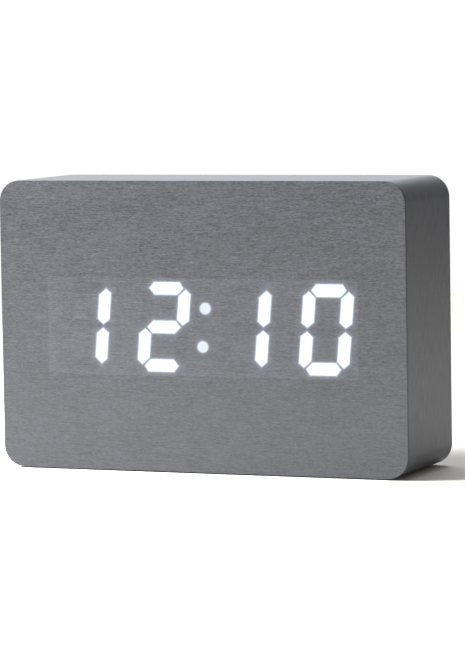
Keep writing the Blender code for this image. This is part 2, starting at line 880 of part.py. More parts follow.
def make_plate_screws():
    """The four screws that hold the control plate, with a cross recess in each head."""
    for number, (x, z) in enumerate(plate_screw_places(), 1):
        seat = PLATE_BACK - 0.0010 + GAP
        screw = make_screw(f"plate_screw_{number}", (x, seat, z), 0.0052)
        for size in ((0.0011, 0.0002), (0.0002, 0.0011)):
            low = (x - size[0], seat + 0.0005, z - size[1])
            high = (x + size[0], seat + 0.0030, z + size[1])
            cut(screw, block("cross_recess", None, low, high))


def cell_height(number):
    """Height of a cell's axis, counted from the lowest."""
    return HEIGHT / 2 + (number - (CELLS + 1) / 2) * CELL_PITCH


def points_left(number):
    """Cells lie head to tail: the odd ones have their positive end at -X."""
    return number % 2 == 1


def end_of_bay(left):
    """The X of a bay end and the direction into the bay from there."""
    return (BAY_LEFT, 1) if left else (BAY_RIGHT, -1)


def make_cells():
    for number in range(1, CELLS + 1):
        wall, inwards = end_of_bay(points_left(number))
        tip = wall + inwards * (2 * GAP + TERMINAL)
        ends = sorted((0.0, inwards * (CELL_NUB + CELL_BODY)))
        profile = cell_profile(nub_at_top=inwards < 0)
        turned(
            f"cell_{number}",
            "cell_jacket",
            profile,
            (tip + ends[0], CELL_AXIS_Y, cell_height(number)),
            axis="X",
            steps=20,
        )


def cell_profile(nub_at_top):
    """A cell from its lower end at 0, with its nub at the top or at the bottom."""
    length = CELL_NUB + CELL_BODY
    edge = 0.0004
    nub = 0.0019
    upwards = [
        (0.0, 0.0),
        (nub, 0.0),
        (nub, CELL_NUB),
        (CELL_RADIUS - edge, CELL_NUB),
        (CELL_RADIUS, CELL_NUB + edge),
        (CELL_RADIUS, length - edge),
        (CELL_RADIUS - edge, length),
        (0.0, length),
    ]
    if nub_at_top:
        return [(radius, length - height) for radius, height in upwards]
    return list(reversed(upwards))


def make_terminals():
    """The sheet contacts: a single one at each end of the chain, and bridges between two cells."""
    half_y, half_z = 0.0042, 0.0042
    pairs = {
        "positive_terminal": (True, 1, 1),
        "negative_terminal": (True, 4, 4),
        "left_bridge": (True, 2, 3),
        "lower_right_bridge": (False, 1, 2),
        "upper_right_bridge": (False, 3, 4),
    }
    for name, (left, first, last) in pairs.items():
        wall, inwards = end_of_bay(left)
        near, far = sorted((wall + inwards * GAP, wall + inwards * (GAP + TERMINAL)))
        block(
            name,
            "steel",
            (near, CELL_AXIS_Y - half_y, cell_height(first) - half_z),
            (far, CELL_AXIS_Y + half_y, cell_height(last) + half_z),
        )


def make_springs():
    """A conical spring presses on the flat end of each cell."""
    turns, per_turn, wire_radius = 3.5, 10, 0.00035
    wide, narrow = 0.0040, 0.0022
    count = int(turns * per_turn)
    for number in range(1, CELLS + 1):
        wall, inwards = end_of_bay(not points_left(number))
        base = wall + inwards * (2 * GAP + TERMINAL + wire_radius)
        points = []
        for i in range(count + 1):
            share = i / count
            radius = wide + (narrow - wide) * share
            angle = 2 * math.pi * turns * share
            points.append(
                (
                    base + inwards * SPRING_LENGTH * share,
                    CELL_AXIS_Y + radius * math.cos(angle),
                    cell_height(number) + radius * math.sin(angle),
                )
            )
        wire(f"cell_spring_{number}", "steel", points, wire_radius)


def make_leads():
    """Two leads run from the end terminals, through the tub's wall, round the circuit board's edge."""
    route = (
        (0.0009, CELL_AXIS_Y, 0.0),
        (-0.0009, CELL_AXIS_Y, 0.0),
        (-0.0016, 0.0136, 0.0001),
        (-0.0018, 0.0124, 0.0003),
        (-0.0019, 0.0106, 0.0006),
        (-0.0024, 0.0094, 0.0010),
        (-0.0038, 0.0087, 0.0019),
        (-0.0058, 0.0090, 0.0031),
        (-0.0080, BOARD_FRONT - GAP - LEAD_RADIUS, 0.0040),
    )
    ends = (("positive_lead", "red_lead", 1), ("negative_lead", "black_lead", -1))
    for (name, finish, lean), level in zip(ends, lead_levels()):
        points = [(x, y, level + lean * rise) for x, y, rise in route]
        wire(name, finish, points, LEAD_RADIUS, 2)


def make_ribbon():
    """The flat cable between the two boards: a strip that bends like an S."""
    front, back = DISPLAY_BOARD_FRONT + PCB_THICKNESS + GAP, BOARD_FRONT - GAP
    low, high, steps = 0.046, 0.074, 14
    left, right = -0.040, -0.028
    mesh = bpy.data.meshes.new("display_ribbon")
    shape = bmesh.new()
    rows = []
    for i in range(steps + 1):
        share = i / steps
        y = front + 0.0004 + (back - front - 0.0008) * share
        z = low + (high - low) * share * share * (3 - 2 * share)
        rows.append([shape.verts.new((x, y, z)) for x in (left, right)])
    for (a, b), (c, d) in zip(rows, rows[1:]):
        shape.faces.new((a, b, d, c))
    shape.to_mesh(mesh)
    shape.free()
    ribbon = add_object("display_ribbon", mesh, "grey_ribbon")
    thickness = ribbon.modifiers.new("thickness", "SOLIDIFY")
    thickness.thickness = 0.0006
    thickness.offset = 0.0


def make_feet():
    """Four thin pads under the block. The block then rests on their undersides, at z = 0."""
    for number, (x, y) in enumerate(FOOT_PLACES, 1):
        top = -GLUE
        profile = [(0.0, top), (FOOT_RADIUS, top), (FOOT_RADIUS, -FOOT_HEIGHT), (0.0, -FOOT_HEIGHT)]
        turned(f"foot_pad_{number}", "rubber", profile, (x, y, 0.0), axis="Z")
    for obj in [*CLOCK.objects, *HELPERS.objects]:
        obj.location.z += FOOT_HEIGHT


def main():
    make_case()
    make_films()
    make_back_board()
    make_display()
    make_control_plate()
    make_door()
    for name, x in BUTTON_XS.items():
        make_button(name, x)
        make_button_switch(name, x)
    make_mode_switch()
    make_jack()
    make_circuit_board()
    make_board_parts()
    make_plate_screws()
    make_cells()
    make_terminals()
    make_springs()
    make_leads()
    make_ribbon()
    make_feet()


main()
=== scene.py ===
import json
import math

import bmesh
import bpy
import numpy as np
from mathutils import Matrix, Vector
from mathutils.geometry import delaunay_2d_cdt


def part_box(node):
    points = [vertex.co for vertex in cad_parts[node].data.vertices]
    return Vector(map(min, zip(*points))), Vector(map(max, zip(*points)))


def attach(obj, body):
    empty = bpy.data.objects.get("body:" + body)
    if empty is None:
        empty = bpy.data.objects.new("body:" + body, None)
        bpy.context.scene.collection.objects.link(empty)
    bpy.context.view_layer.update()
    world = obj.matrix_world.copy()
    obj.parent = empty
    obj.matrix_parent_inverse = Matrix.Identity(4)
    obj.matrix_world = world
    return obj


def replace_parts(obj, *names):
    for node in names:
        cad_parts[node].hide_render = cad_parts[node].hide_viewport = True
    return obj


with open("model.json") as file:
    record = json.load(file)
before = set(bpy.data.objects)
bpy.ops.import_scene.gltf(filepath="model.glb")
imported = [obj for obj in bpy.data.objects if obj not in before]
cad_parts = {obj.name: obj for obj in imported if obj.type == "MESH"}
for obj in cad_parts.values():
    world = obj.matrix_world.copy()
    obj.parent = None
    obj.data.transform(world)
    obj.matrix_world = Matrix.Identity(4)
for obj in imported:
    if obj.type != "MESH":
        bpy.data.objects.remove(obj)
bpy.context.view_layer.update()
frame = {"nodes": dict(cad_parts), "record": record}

# ---- Places, from the frame ---------------------------------------------------------------------

ROOT = "clock"
DOOR = "battery_door"
FACE_LOW, FACE_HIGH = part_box("front_film")
FACE_Y = FACE_LOW.y
FILM = FACE_HIGH.y - FACE_LOW.y
BASE = FACE_LOW.z
WIDTH = FACE_HIGH.x - FACE_LOW.x
HEIGHT = FACE_HIGH.z - FACE_LOW.z
MIDDLE = BASE + HEIGHT / 2
CORNER_RADIUS = 0.0075
TO_MM = 1000.0

# The display. The middles of the window and of the digits are measured up from the block's underside.
WINDOW_CENTRE = (0.0004, 0.0499)
WINDOW_SIZE = (0.1148, 0.0336)
WINDOW_CORNER = 0.0008
DIGIT_CENTRE = (0.00165, 0.04985)
DIGIT_PITCH = 0.0298
DIGIT_SLANT = math.radians(4.9)
COLON_OFFSET = 0.00657
COLON_RADIUS = 0.00207
# Segment shapes, measured from the middle of their digit, with their corners counterclockwise
UPPER_BAR = (
    (-0.00650, 0.01335),
    (-0.00435, 0.01095),
    (0.00435, 0.01095),
    (0.00650, 0.01335),
    (0.00485, 0.01560),
    (-0.00485, 0.01560),
)
MIDDLE_BAR = (
    (-0.00640, 0.0),
    (-0.00425, -0.00233),
    (0.00425, -0.00233),
    (0.00640, 0.0),
    (0.00425, 0.00233),
    (-0.00425, 0.00233),
)
RIGHT_POST = (
    (0.00690, 0.00045),
    (0.00927, 0.00220),
    (0.00927, 0.01140),
    (0.00720, 0.01315),
    (0.00453, 0.01075),
    (0.00453, 0.00245),
)
# Each segment's shape, its side and its level: -1 turns the shape over
SEGMENTS = {
    "a": (UPPER_BAR, 1, 1),
    "b": (RIGHT_POST, 1, 1),
    "c": (RIGHT_POST, 1, -1),
    "d": (UPPER_BAR, 1, -1),
    "e": (RIGHT_POST, -1, -1),
    "f": (RIGHT_POST, -1, 1),
    "g": (MIDDLE_BAR, 1, 1),
}
SHOWN = ("bc", "abged", "bc", "abcdef")


# ---- Outlines in the XZ plane -------------------------------------------------------------------


def rounded_rectangle(centre, size, radius, steps):
    """Corner arcs joined by straight sides, counterclockwise."""
    points = []
    for quarter, (sx, sz) in enumerate(((1, 1), (-1, 1), (-1, -1), (1, -1))):
        cx = centre[0] + sx * (size[0] / 2 - radius)
        cz = centre[1] + sz * (size[1] / 2 - radius)
        for i in range(steps + 1):
            angle = math.pi / 2 * (quarter + i / steps)
            points.append((cx + radius * math.cos(angle), cz + radius * math.sin(angle)))
    return points


def circle(centre, radius, steps):
    angles = [2 * math.pi * i / steps for i in range(steps)]
    return [(centre[0] + radius * math.cos(a), centre[1] + radius * math.sin(a)) for a in angles]


def block_outline(inset=0.0, steps=16):
    size = (WIDTH - 2 * inset, HEIGHT - 2 * inset)
    return rounded_rectangle((0.0, MIDDLE), size, CORNER_RADIUS - inset, steps)


def shrunk(outline, distance):
    """A convex counterclockwise outline with every side moved inwards."""
    count = len(outline)
    sides = []
    for i in range(count):
        (ax, az), (bx, bz) = outline[i], outline[(i + 1) % count]
        length = math.hypot(bx - ax, bz - az)
        nx, nz = (az - bz) / length, (bx - ax) / length
        sides.append((nx, nz, nx * ax + nz * az + distance))
    points = []
    for i in range(count):
        (nx, nz, c), (mx, mz, d) = sides[i - 1], sides[i]
        cross = nx * mz - nz * mx
        points.append(((c * mz - d * nz) / cross, (nx * d - mx * c) / cross))
    return points


def slanted(points, centre_x):
    """Points given from the middle of a digit, leaned over and put in place."""
    lean = math.tan(DIGIT_SLANT)
    return [(centre_x + x + lean * z, BASE + DIGIT_CENTRE[1] + z) for x, z in points]


def digit_outlines(number, letters):
    """Outlines of some of a digit's segments. Digits are numbered 1 to 4 from the left."""
    middle_number = (len(SHOWN) + 1) / 2
    centre_x = DIGIT_CENTRE[0] + (number - middle_number) * DIGIT_PITCH
    outlines = []
    for letter in letters:
        shape, side, level = SEGMENTS[letter]
        points = [(side * x, level * z) for x, z in shape]
        outlines.append(slanted(points if side * level > 0 else points[::-1], centre_x))
    return outlines


def lit_digits():
    return [o for number, letters in enumerate(SHOWN, 1) for o in digit_outlines(number, letters)]


def unlit_digits():
    return [
        o
        for number, letters in enumerate(SHOWN, 1)
        for o in digit_outlines(number, sorted(set(SEGMENTS) - set(letters)))
    ]


def colon_centres():
    return slanted([(0.0, -COLON_OFFSET), (0.0, COLON_OFFSET)], DIGIT_CENTRE[0])


def depth_inside(points, outline):
    """How far inside a convex counterclockwise outline each point is, negative outside it."""
    depth = np.full(len(points), 1e9)
    for (ax, az), (bx, bz) in zip(outline, outline[1:] + outline[:1]):
        length = math.hypot(bx - ax, bz - az)
        nx, nz = (az - bz) / length, (bx - ax) / length
        depth = np.minimum(depth, (points[:, 0] - ax) * nx + (points[:, 1] - az) * nz)
    return depth


# ---- Shader building ----------------------------------------------------------------------------


class Nodes:
    """A node tree under construction: short calls that add nodes and link them."""

    def __init__(self, tree):
        self.tree = tree

    def node(self, kind, inputs=None, **settings):
        made = self.tree.nodes.new(kind)
        for key, value in settings.items():
            setattr(made, key, value)
        for key, value in (inputs or {}).items():
            self.feed(made.inputs[key], value)
        return made

    def feed(self, socket, value):
        if isinstance(value, bpy.types.NodeSocket):
            self.tree.links.new(value, socket)
        else:
            socket.default_value = value

    def math(self, operation, *values):
        made = self.node("ShaderNodeMath", operation=operation)
        for socket, value in zip(made.inputs, values):
            self.feed(socket, value)
        return made.outputs[0]

    def vector_math(self, operation, first, second, output="Vector"):
        inputs = {0: first, 1: second}
        return self.node("ShaderNodeVectorMath", inputs, operation=operation).outputs[output]

    def part(self, vector, axis):
        return self.node("ShaderNodeSeparateXYZ", {"Vector": vector}).outputs[axis]

    def ramp(self, value, start, end, low, high, way="LINEAR"):
        """Goes from low to high while the value goes from start to end. It is level outside them."""
        inputs = {"Value": value, "From Min": start, "From Max": end, "To Min": low, "To Max": high}
        return self.node("ShaderNodeMapRange", inputs, interpolation_type=way).outputs["Result"]

    def spread(self, value, low, high):
        """Stretches a 0 to 1 value over low to high."""
        return self.ramp(value, 0.0, 1.0, low, high)


class Shader(Nodes):
    """A material under construction."""

    def __init__(self, name):
        self.material = bpy.data.materials.new(name)
        self.material.use_nodes = True
        super().__init__(self.material.node_tree)
        self.surface = self.tree.nodes["Principled BSDF"]

    def set(self, **values):
        """Sets or links sockets of the surface."""
        for key, value in values.items():
            self.feed(self.surface.inputs[key.replace("_", " ")], value)

    def place(self):
        """Position on the object at rest, in millimetres."""
        where = self.node("ShaderNodeTexCoord").outputs["Object"]
        return self.scaled(where, TO_MM, TO_MM, TO_MM)

    def scaled(self, vector, *factors):
        return self.vector_math("MULTIPLY", vector, factors)

    def noise(self, vector, scale=1.0, detail=2.0, roughness=0.5):
        inputs = {"Vector": vector, "Scale": scale, "Detail": detail, "Roughness": roughness}
        return self.node("ShaderNodeTexNoise", inputs).outputs["Fac"]

    def attribute(self, name, output="Fac"):
        return self.node("ShaderNodeAttribute", attribute_name=name).outputs[output]

    def blended(self, way, share, first, second):
        """Two colours blended. Each is a socket or a tuple of three numbers."""
        made = self.node("ShaderNodeMix", data_type="RGBA", blend_type=way)
        for key, value in (("Factor", share), ("A", first), ("B", second)):
            self.feed(made.inputs[key], (*value, 1.0) if isinstance(value, tuple) else value)
        return made.outputs["Result"]

    def mixed(self, share, first, second):
        return self.blended("MIX", share, first, second)

    def tinted(self, colour, factor):
        """A colour times a factor."""
        grey = self.node("ShaderNodeCombineColor", {"Red": factor, "Green": factor, "Blue": factor})
        return self.blended("MULTIPLY", 1.0, colour, grey.outputs[0])

    def finished(self, height, distance, strength):
        """Adds a relief, given by a height and how far it stands out, and returns the material."""
        made = self.node("ShaderNodeBump", {"Height": height, "Distance": distance, "Strength": strength})
        self.feed(self.surface.inputs["Normal"], made.outputs["Normal"])
        return self.material


# ---- Materials ----------------------------------------------------------------------------------

FILM_COLOUR = (0.0836, 0.0864, 0.0986)
LIGHT_COLOUR = (0.72, 0.81, 1.0, 1.0)
# Streaks per millimetre, along the grain and across it. Long streaks have a contrast as well.
FINE_STREAKS = (0.98, 4.1)
BROAD_CLOUDS = (0.04, 0.09)
LONG_STREAKS = (0.20, 2.7, 0.34)
BAND_STREAKS = (0.19, 1.25, 0.56)
# The painted shade line beside the face, standing in for the shaded crevice between face film and band:
# its width in millimetres and its darkest tone
CREVICE_SHADE_WIDTH, CREVICE_SHADE_TONE = 1.1, 0.25
# The face's streaks are painted stronger upwards, as painted sheen where the light catches the brushing:
# two heights in millimetres and how strong it is there
PAINTED_SHEEN_HEIGHTS = (20.0, 85.0)
PAINTED_SHEEN_STRENGTHS = (0.78, 1.36)


def brushed_film(name, lit=False, long_streaks=LONG_STREAKS, crevice_shade=None):
    """Satin film with fine broken streaks along its grain. The face's film also carries the light.

    A painted shade line, standing in for the shaded crevice beside the sheet, runs dark along the sheet's
    edge at the place across the grain that is given.
    """
    shader = Shader(name)
    along, across, contrast = long_streaks
    grain = shader.scaled(shader.attribute("grain", "Vector"), TO_MM, TO_MM, TO_MM)
    fine = shader.noise(shader.scaled(grain, *FINE_STREAKS, 1.0), roughness=0.55)
    middling = shader.noise(shader.scaled(grain, along, across, 1.0))
    broad = shader.noise(shader.scaled(grain, *BROAD_CLOUDS, 1.0), detail=1.0)
    tone = shader.spread(fine, 0.25, 1.75)
    tone = shader.math("ADD", tone, shader.spread(middling, -contrast, contrast))
    tone = shader.math("ADD", tone, shader.spread(broad, -0.08, 0.08))
    across_grain = shader.part(grain, "Y")
    if crevice_shade is not None:
        # painted shade: the film is darkened near its front edge, standing in for the shaded crevice
        # beside the face film
        from_crevice_shade = shader.math("SUBTRACT", across_grain, TO_MM * crevice_shade)
        line = shader.ramp(from_crevice_shade, 0.0, CREVICE_SHADE_WIDTH, CREVICE_SHADE_TONE, 1.0)
        tone = shader.math("MULTIPLY", tone, line)
    if lit:
        # painted sheen: the streaks' contrast grows with height, standing in for how the light catches
        # the brushing higher up
        strength = shader.ramp(across_grain, *PAINTED_SHEEN_HEIGHTS, *PAINTED_SHEEN_STRENGTHS)
        streaks = shader.math("MULTIPLY", shader.math("SUBTRACT", tone, 1.0), strength)
        tone = shader.math("ADD", shader.math("ADD", streaks, 1.0), shader.attribute("film_tone"))
        shader.set(Emission_Color=LIGHT_COLOUR, Emission_Strength=shader.attribute("glow"))
    shader.set(
        Base_Color=shader.tinted(FILM_COLOUR, tone),
        Metallic=0.35,
        Roughness=shader.spread(fine, 0.34, 0.50),
    )
    return shader.finished(fine, 0.00002, 0.4)


def speckled(name, colour, roughness, grain=3.0, depth=0.00002, change=0.12):
    """A solid colour with a moulded grain: colour, roughness and relief vary a little.

    The grain is in specks per millimetre, and the change is the spread of the colour's brightness.
    """
    shader = Shader(name)
    place = shader.place()
    fine = shader.noise(place, grain, 3.0, 0.6)
    broad = shader.noise(place, grain / 25)
    half = change / 2
    tone = shader.math("ADD", shader.spread(fine, 1 - half, 1 + half), shader.spread(broad, -half, half))
    shader.set(
        Base_Color=shader.tinted(colour, tone),
        Roughness=shader.spread(fine, roughness * 0.88, roughness * 1.12),
    )
    return shader.finished(fine, depth, 0.6)


def fibreboard():
    """Pressed wood fibres, with short dark and pale strands lying every way."""
    shader = Shader("fibreboard")
    place = shader.place()
    strands = shader.noise(shader.scaled(place, 0.8, 3.0, 2.2), 1.6, 5.0, 0.7)
    broad = shader.noise(place, 0.12)
    colour = shader.mixed(strands, (0.24, 0.15, 0.08), (0.52, 0.38, 0.24))
    shader.set(Base_Color=shader.tinted(colour, shader.spread(broad, 0.85, 1.1)), Roughness=0.9)
    return shader.finished(strands, 0.00005, 0.8)


def brushed_steel(name, colour=(0.62, 0.62, 0.63), roughness=0.28):
    shader = Shader(name)
    streaks = shader.noise(shader.scaled(shader.place(), 0.3, 6.0, 0.4), 2.0, 3.0, 0.6)
    shader.set(
        Base_Color=shader.tinted(colour, shader.spread(streaks, 0.88, 1.08)),
        Metallic=1.0,
        Roughness=shader.spread(streaks, roughness * 0.8, roughness * 1.3),
    )
    return shader.finished(streaks, 0.00001, 0.4)


MASK_COLOUR, TRACK_COLOUR = (0.010, 0.085, 0.035), (0.035, 0.20, 0.085)
# Tracks lie in lanes this many millimetres wide. Half a track's width is a share of its lane.
LANE, HALF_TRACK = 1.27, 0.16
# A noise says where each track stops: its changes per millimetre, the step from one lane to the next,
# and the level under which there is no track
TRACK_CHANGES, LANE_STEP, TRACK_LEVEL = 0.11, 3.7, 0.52


def printed_board():
    """Green solder mask. Copper tracks show through it as paler lines that stop and start."""
    shader = Shader("solder_mask")
    place = shader.place()
    tracks = []
    for run, cross, offset in (("X", "Z", 0.0), ("Z", "X", 40.0)):
        lanes = shader.math("DIVIDE", shader.part(place, cross), LANE)
        lane = shader.math("FLOOR", lanes)
        on_track = shader.math("COMPARE", shader.math("SUBTRACT", lanes, lane), 0.5, HALF_TRACK)
        along = shader.math("MULTIPLY", shader.part(place, run), TRACK_CHANGES)
        apart = shader.math("MULTIPLY", lane, LANE_STEP)
        spot = shader.node("ShaderNodeCombineXYZ", {"X": along, "Y": apart, "Z": offset})
        present = shader.math("GREATER_THAN", shader.noise(spot.outputs[0], detail=1.0), TRACK_LEVEL)
        tracks.append(shader.math("MULTIPLY", on_track, present))
    either = shader.math("MAXIMUM", *tracks)
    speckle = shader.noise(place, 1.2)
    shader.set(
        Base_Color=shader.mixed(either, MASK_COLOUR, TRACK_COLOUR),
        Roughness=shader.spread(speckle, 0.26, 0.34),
    )
    return shader.finished(either, 0.00002, 0.5)


def flat_cable():
    """Grey insulation with a soft stripe for each wire."""
    shader = Shader("flat_cable")
    place = shader.place()
    wire_pitch = 1.2
    wave = shader.math("SINE", shader.math("MULTIPLY", shader.part(place, "X"), 2 * math.pi / wire_pitch))
    share = shader.spread(shader.math("ADD", shader.math("MULTIPLY", wave, 2.0), 0.5), 0.0, 1.0)
    speckle = shader.noise(place, 2.0)
    shader.set(
        Base_Color=shader.mixed(share, (0.30, 0.30, 0.31), (0.45, 0.45, 0.46)),
        Roughness=shader.spread(speckle, 0.425, 0.575),
    )
    return shader.material


SLEEVE_COLOUR, SLEEVE_BAND_COLOUR = (0.42, 0.44, 0.45), (0.012, 0.085, 0.060)


def cell_sleeve():
    """A cell's printed sleeve: pale, with a dark green band towards the nub. The ends are bare steel."""
    shader = Shader("cell_sleeve")
    along = shader.attribute("along_cell")
    band = shader.math("GREATER_THAN", along, 0.70)
    ring = shader.math("COMPARE", along, 0.665, 0.012)
    green = shader.math("MAXIMUM", band, ring)
    sleeve = shader.mixed(green, SLEEVE_COLOUR, SLEEVE_BAND_COLOUR)
    on_end = shader.math("LESS_THAN", shader.attribute("from_axis"), 0.80)
    speckle = shader.noise(shader.place(), 1.5)
    shader.set(
        Base_Color=shader.mixed(on_end, sleeve, (0.60, 0.60, 0.60)),
        Metallic=shader.spread(on_end, 0.25, 1.0),
        Roughness=shader.spread(speckle, 0.26, 0.36),
        Coat_Weight=0.3,
    )
    return shader.finished(speckle, 0.000006, 0.4)


def lit_guide():
    """Pale plastic that glows unevenly."""
    shader = Shader("lit_light_guide")
    cloud = shader.noise(shader.place(), 0.8)
    shader.set(
        Base_Color=(0.85, 0.9, 0.95, 1.0),
        Roughness=0.35,
        Emission_Color=LIGHT_COLOUR,
        Emission_Strength=shader.spread(cloud, 0.5, 0.7),
    )
    return shader.material


# What each of the record's material slots looks like
FINISHES = {
    "fibreboard": fibreboard(),
    "brushed_film": brushed_film("plain_brushed_film"),
    "black_plastic": speckled("textured_black_abs", (0.018, 0.018, 0.019), 0.5, 4.0, 0.00004, 0.3),
    "button_plastic": speckled("smooth_black_abs", (0.028, 0.028, 0.030), 0.3, 1.5, 0.000005, 0.15),
    "white_plastic": speckled("white_reflector", (0.80, 0.80, 0.78), 0.45, 1.5),
    "mask_black": speckled("light_mask", (0.015, 0.015, 0.015), 0.8, 5.0),
    "light_guide": lit_guide(),
    "circuit_board": printed_board(),
    "steel": brushed_steel("plated_steel"),
    "black_steel": brushed_steel("black_oxide_steel", (0.05, 0.05, 0.052), 0.38),
    "cell_jacket": cell_sleeve(),
    "red_lead": speckled("red_insulation", (0.45, 0.02, 0.015), 0.4, 1.0),
    "black_lead": speckled("black_insulation", (0.015, 0.015, 0.015), 0.4, 1.0),
    "grey_ribbon": flat_cable(),
    "rubber": speckled("foam_rubber", (0.03, 0.03, 0.03), 0.85, 6.0, 0.00005, 0.3),
}


def finish_nodes():
    """Gives every CAD node the look of its slot."""
    for entry in frame["record"]["subparts"]:
        materials = frame["nodes"][entry["node"]].data.materials
        materials.clear()
        materials.append(FINISHES[entry["material_slot"]])


# ---- Mesh building ------------------------------------------------------------------------------

SHARP = math.radians(38)


def triangulated(outlines):
    """Points and triangles that fill the outermost outline, with an edge along every outline."""
    corners, edges = [], []
    for outline in outlines:
        first, count = len(corners), len(outline)
        corners += [Vector(point) for point in outline]
        edges += [(first + i, first + (i + 1) % count) for i in range(count)]
    flat, _, triangles, *_ = delaunay_2d_cdt(corners, edges, [], 1, 1e-7)
    return [(point.x, point.y) for point in flat], [tuple(t) for t in triangles]


def new_piece(name, shape, slot, body=ROOT, material=None, smooth=False):
    """Makes a piece of the shape. It has its slot's own look unless another material is given."""
    bmesh.ops.recalc_face_normals(shape, faces=shape.faces)
    mesh = bpy.data.meshes.new(name)
    shape.to_mesh(mesh)
    shape.free()
    if smooth:
        mesh.shade_smooth()
        mesh.set_sharp_from_angle(angle=SHARP)
    mesh.materials.append(material or FINISHES[slot])
    piece = bpy.data.objects.new(name, mesh)
    bpy.context.scene.collection.objects.link(piece)
    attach(piece, body)
    return piece


def is_inside(point, outline):
    x, z = point
    inside = False
    for (ax, az), (bx, bz) in zip(outline, outline[1:] + outline[:1]):
        if (az > z) != (bz > z) and x < ax + (z - az) / (bz - az) * (bx - ax):
            inside = not inside
    return inside


def loop_at(shape, outline, y):
    return [shape.verts.new((x, y, z)) for x, z in outline]


def ring_faces(shape, first, second):
    """Joins two closed loops of the same number of vertices with a band of faces."""
    count = len(first)
    for i in range(count):
        after = (i + 1) % count
        shape.faces.new((first[i], first[after], second[after], second[i]))


def fan_faces(shape, pole, loop):
    for i, vert in enumerate(loop):
        shape.faces.new((pole, vert, loop[(i + 1) % len(loop)]))


def frame_faces(shape, outline, hole, verts):
    """Fills the outline around its hole. The vertices are the outline's and then the hole's."""
    points, triangles = triangulated([outline, hole])
    for triangle in triangles:
        middle = [sum(points[i][axis] for i in triangle) / 3 for axis in (0, 1)]
        if not is_inside(middle, hole):
            shape.faces.new([verts[i] for i in triangle])


def places(mesh):
    """The mesh's vertices as rows of X, Y and Z."""
    found = np.zeros(len(mesh.vertices) * 3, np.float32)
    mesh.vertices.foreach_get("co", found)
    return found.reshape(-1, 3)


def save_attribute(mesh, name, values, kind="FLOAT"):
    layer = mesh.attributes.new(name, kind, "POINT")
    field = "vector" if kind == "FLOAT_VECTOR" else "value"
    layer.data.foreach_set(field, np.asarray(values, np.float32).ravel())


def flat_grain(mesh):
    """Grain that runs along X on a face or back sheet."""
    save_attribute(mesh, "grain", places(mesh)[:, [0, 2, 1]], "FLOAT_VECTOR")


# ---- The film on the face, with the display's light in it ---------------------------------------

RIM_ROUND = 0.00012
RIM_STEPS = 3
SKIN = 0.00003
POCKET_INSET = 0.0003
COLON_STEPS = 24
# Strength of the light at depths inside a lit outline. Outside it the depth is below 0.
GLOW_STEPS = (
    (-0.00260, 0.0),
    (-0.00120, 0.025),
    (-0.00055, 0.055),
    (-0.00028, 0.10),
    (-0.00006, 0.26),
    (0.00014, 0.62),
    (0.00034, 1.02),
    (0.00062, 1.6),
)
COLON_GLOW = (
    (-0.00160, 0.0),
    (-0.00060, 0.03),
    (-0.00024, 0.10),
    (-0.00002, 0.34),
    (0.00018, 0.70),
    (0.00042, 0.84),
)
# How much paler the film is at depths inside the window, and how much darker inside an unlit segment
WINDOW_TONE = ((-0.0002, 0.0), (0.0002, 0.17), (0.0012, 0.17), (0.0022, 0.13))
UNLIT_SHADE = ((0.0, 0.0), (0.0005, 0.075))


def window_outline():
    centre = (WINDOW_CENTRE[0], BASE + WINDOW_CENTRE[1])
    return rounded_rectangle(centre, WINDOW_SIZE, WINDOW_CORNER, 3)


def colon_outlines():
    return [circle(centre, COLON_RADIUS, COLON_STEPS) for centre in colon_centres()]


def stepped(points, outlines, steps):
    """The highest, over the outlines, of a value that follows the depth inside each of them."""
    depths, values = zip(*steps)
    found = [np.interp(depth_inside(points, outline), depths, values) for outline in outlines]
    return np.max(found, axis=0)


def glow_at(points):
    """Strength of the light in the film: it spreads a little past each lit segment's outline."""
    digits = stepped(points, lit_digits(), GLOW_STEPS)
    return np.maximum(digits, stepped(points, colon_outlines(), COLON_GLOW))


def tone_at(points):
    """How much paler the film is over the window. Its rim is palest and the unlit segments are darker."""
    window = stepped(points, [window_outline()], WINDOW_TONE)
    return window - stepped(points, unlit_digits(), UNLIT_SHADE)


def rings(outlines, steps):
    return [shrunk(outline, depth) for outline in outlines for depth, _ in steps]


def rim_steps():
    """Pairs of depth and inset, from the flat side of a sheet round to its edge."""
    angles = [math.pi / 2 * i / RIM_STEPS for i in range(RIM_STEPS + 1)]
    return [(RIM_ROUND * (1 - math.cos(a)), RIM_ROUND * (1 - math.sin(a))) for a in angles]


